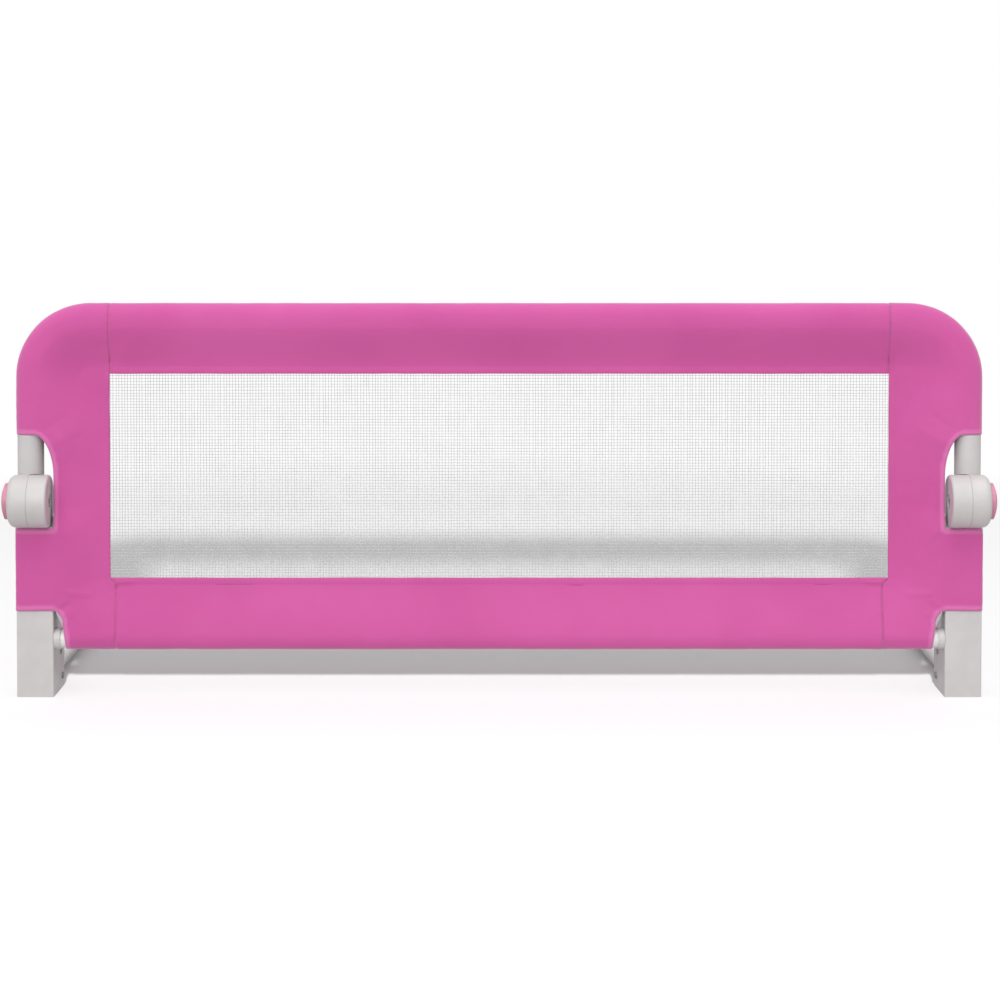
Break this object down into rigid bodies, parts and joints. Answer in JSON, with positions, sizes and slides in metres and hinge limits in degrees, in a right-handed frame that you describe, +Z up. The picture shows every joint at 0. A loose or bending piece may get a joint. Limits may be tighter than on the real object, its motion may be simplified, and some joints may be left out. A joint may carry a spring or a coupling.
{
  "type": "folding toddler bed rail",
  "caption": "Fold-down toddler bed rail: cloth cover with a mesh window on a tube frame, push-button hinge hubs, moulded legs and a base that slides under a mattress.",
  "frame": {"origin": "on the floor, in the middle of the rail's length and depth", "axes": "+X along the rail, +Y back under the mattress, +Z up; the cover faces -Y"},
  "size_m": [1.02, 0.392, 0.405],
  "materials": {
    "pink_cloth": "woven polyester, matte with a soft sheen",
    "white_mesh": "open knitted mesh",
    "grey_plastic": "fine satin moulding",
    "tube_paint": "light grey powder coat",
    "pink_plastic": "satin moulding",
    "lock_plastic": "plain moulding",
    "pad_rubber": "matte",
    "dark_steel": "black oxide",
    "bright_steel": "zinc plated"
  },
  "bodies": {
    "base": {"lower_cross_tube": "tube_paint", "rear_cross_tube": "tube_paint", "rear_pads": "pad_rubber", "pivot_washers": "bright_steel", "lug_screws": "dark_steel", "foot_screws": "dark_steel", "foot_rivets": "dark_steel", "cover_bottom_band": "pink_cloth", "mesh_lower": "white_mesh", "left_leg": "grey_plastic", "left_base_arm": "tube_paint", "left_rear_corner": "grey_plastic", "left_hinge_cheek": "grey_plastic", "left_pivot_bolt": "bright_steel", "left_pivot_nut": "bright_steel", "left_lock_spring": "bright_steel", "left_cover_side_lower": "pink_cloth", "right_leg": "grey_plastic", "right_base_arm": "tube_paint", "right_rear_corner": "grey_plastic", "right_hinge_cheek": "grey_plastic", "right_pivot_bolt": "bright_steel", "right_pivot_nut": "bright_steel", "right_lock_spring": "bright_steel", "right_cover_side_lower": "pink_cloth"},
    "rail": {"top_tube": "tube_paint", "neck_pins": "dark_steel", "cover_top_band": "pink_cloth", "mesh_upper": "white_mesh", "left_hinge_housing": "grey_plastic", "left_corner_tube": "tube_paint", "left_cover_side_upper": "pink_cloth", "right_hinge_housing": "grey_plastic", "right_corner_tube": "tube_paint", "right_cover_side_upper": "pink_cloth"},
    "left_plunger": {"left_lock_plunger": "lock_plastic"},
    "left_push_button": {"left_button": "pink_plastic"},
    "right_plunger": {"right_lock_plunger": "lock_plastic"},
    "right_push_button": {"right_button": "pink_plastic"}
  },
  "joints": [
    {"name": "rail_fold", "type": "hinge", "parent": "base", "child": "rail", "pos_m": [0, -0.169, 0.203], "axis": [1, 0, 0], "range_deg": [0, 178]},
    {"name": "left_button_press", "type": "slide", "parent": "rail", "child": "left_push_button", "axis": [1, 0, 0], "range_m": [0, 0.005], "stiffness_N_per_m": 500},
    {"name": "left_lock_slide", "type": "slide", "parent": "base", "child": "left_plunger", "axis": [1, 0, 0], "range_m": [0, 0.005], "stiffness_N_per_m": 500, "deforming": ["left_lock_spring"]},
    {"name": "right_button_press", "type": "slide", "parent": "rail", "child": "right_push_button", "axis": [-1, 0, 0], "range_m": [0, 0.005], "stiffness_N_per_m": 500},
    {"name": "right_lock_slide", "type": "slide", "parent": "base", "child": "right_plunger", "axis": [-1, 0, 0], "range_m": [0, 0.005], "stiffness_N_per_m": 500, "deforming": ["right_lock_spring"]}
  ],
  "couplings": [
    {"joint": "left_lock_slide", "follows": "left_button_press", "ratio": 1},
    {"joint": "right_lock_slide", "follows": "right_button_press", "ratio": 1}
  ]
}
